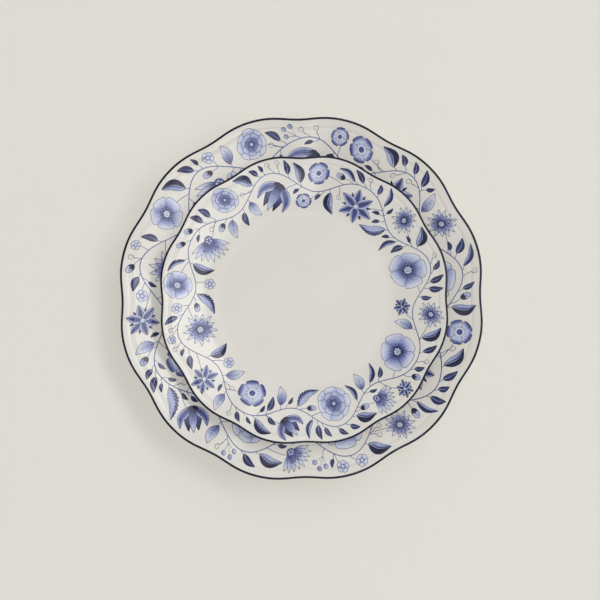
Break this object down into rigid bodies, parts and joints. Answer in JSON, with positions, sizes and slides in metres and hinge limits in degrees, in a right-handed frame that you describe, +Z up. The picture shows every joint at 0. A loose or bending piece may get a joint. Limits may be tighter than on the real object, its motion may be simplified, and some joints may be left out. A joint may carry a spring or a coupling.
{
  "type": "china dinner plate with stacked side plate",
  "caption": "Scalloped porcelain dinner plate with a matching side plate stacked in its well, blue botanical border and dark edge line.",
  "frame": {"origin": "on the table, on the dinner plate's axis, at the underside of its foot ring", "axes": "+Z up along the dinner plate's axis; +X and +Y in the table plane, each pointing at a dip between two lobes"},
  "size_m": [0.2678, 0.2678, 0.0265],
  "materials": {
    "dinner_china": "clear glossy glaze over warm white porcelain, with a cobalt blue transfer border and a dark blue edge line",
    "side_china": "clear glossy glaze over warm white porcelain, with a cobalt blue transfer border and a dark blue edge line"
  },
  "bodies": {
    "dinner_plate": {"dinner_plate": "dinner_china"},
    "side_plate": {"side_plate": "side_china"}
  },
  "joints": [
    {"name": "side_plate_lift", "type": "slide", "parent": "dinner_plate", "child": "side_plate", "axis": [0, 0, 1], "range_m": [0, 0.08]}
  ]
}
